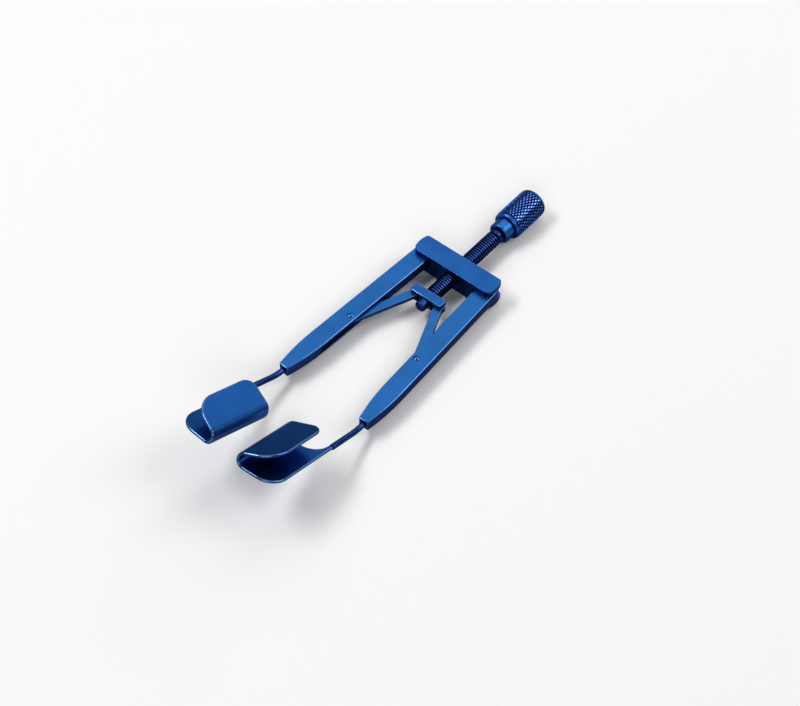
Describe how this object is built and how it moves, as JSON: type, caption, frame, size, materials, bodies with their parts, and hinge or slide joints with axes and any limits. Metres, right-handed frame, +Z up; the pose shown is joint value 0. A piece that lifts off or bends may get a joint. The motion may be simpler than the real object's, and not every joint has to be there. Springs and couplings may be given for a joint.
{
  "type": "screw-adjusted eyelid speculum",
  "caption": "Eyelid speculum in blue anodised titanium: a knurled thumb screw drives a yoke and links that spread flat arms with folded blades on wires.",
  "frame": {"origin": "middle of the crossbar's underside", "axes": "+X to the right arm, +Y from the blades to the knob, +Z up, on the side to which the blades rise"},
  "size_m": [0.0198, 0.0791, 0.0139],
  "materials": {
    "crossbar_blue": "satin blue anodised titanium",
    "arm_blue": "satin blue anodised titanium, finely brushed along its length",
    "link_blue": "satin blue anodised titanium",
    "rivet_blue": "blue anodised titanium, domed and polished",
    "pin_navy": "dark blue anodised titanium, ground",
    "screw_navy": "dark blue anodised titanium with a cut thread",
    "knob_blue": "blue anodised titanium with a diamond knurl",
    "wire_blue": "blue anodised titanium wire, drawn",
    "blade_blue": "blue anodised titanium sheet, polished"
  },
  "bodies": {
    "frame": {"crossbar": "crossbar_blue", "left_arm_pivot_pin": "pin_navy", "right_arm_pivot_pin": "pin_navy"},
    "yoke_slider": {"yoke": "link_blue", "left_yoke_pin": "pin_navy", "right_yoke_pin": "pin_navy"},
    "thumb_screw": {"screw_rod": "screw_navy", "screw_end_cap": "screw_navy", "thumb_knob": "knob_blue"},
    "left_arm_unit": {"left_arm": "arm_blue", "left_link_rivet": "rivet_blue", "left_wire": "wire_blue", "left_blade": "blade_blue"},
    "right_arm_unit": {"right_arm": "arm_blue", "right_link_rivet": "rivet_blue", "right_wire": "wire_blue", "right_blade": "blade_blue"},
    "left_link_bar": {"left_link": "link_blue"},
    "right_link_bar": {"right_link": "link_blue"}
  },
  "joints": [
    {"name": "yoke_slide", "type": "slide", "parent": "frame", "child": "yoke_slider", "axis": [0, -1, 0], "range_m": [-0.00036, 0.0022]},
    {"name": "screw_turn", "type": "hinge", "parent": "yoke_slider", "child": "thumb_screw", "pos_m": [0, 0, 0.0021], "axis": [0, -1, 0], "range_deg": [-260, 1584]},
    {"name": "left_arm_swing", "type": "hinge", "parent": "frame", "child": "left_arm_unit", "pos_m": [-0.00675, 0, 0.0021], "axis": [0, 0, -1], "range_deg": [-2.09, 12.76]},
    {"name": "right_arm_swing", "type": "hinge", "parent": "frame", "child": "right_arm_unit", "pos_m": [0.00675, 0, 0.0021], "axis": [0, 0, 1], "range_deg": [-2.09, 12.76]},
    {"name": "left_link_pivot", "type": "hinge", "parent": "left_arm_unit", "child": "left_link_bar", "pos_m": [-0.00711, -0.01956, 0.0021], "axis": [0, 0, -1], "range_deg": [-1.7, 10.36]},
    {"name": "right_link_pivot", "type": "hinge", "parent": "right_arm_unit", "child": "right_link_bar", "pos_m": [0.00711, -0.01956, 0.0021], "axis": [0, 0, 1], "range_deg": [-1.7, 10.36]}
  ],
  "couplings": [
    {"joint": "screw_turn", "follows": "yoke_slide", "rad_per_m": 12566},
    {"joint": "left_arm_swing", "follows": "yoke_slide", "rad_per_m": 101.22},
    {"joint": "right_arm_swing", "follows": "yoke_slide", "rad_per_m": 101.22},
    {"joint": "left_link_pivot", "follows": "yoke_slide", "rad_per_m": 82.149},
    {"joint": "right_link_pivot", "follows": "yoke_slide", "rad_per_m": 82.149}
  ]
}
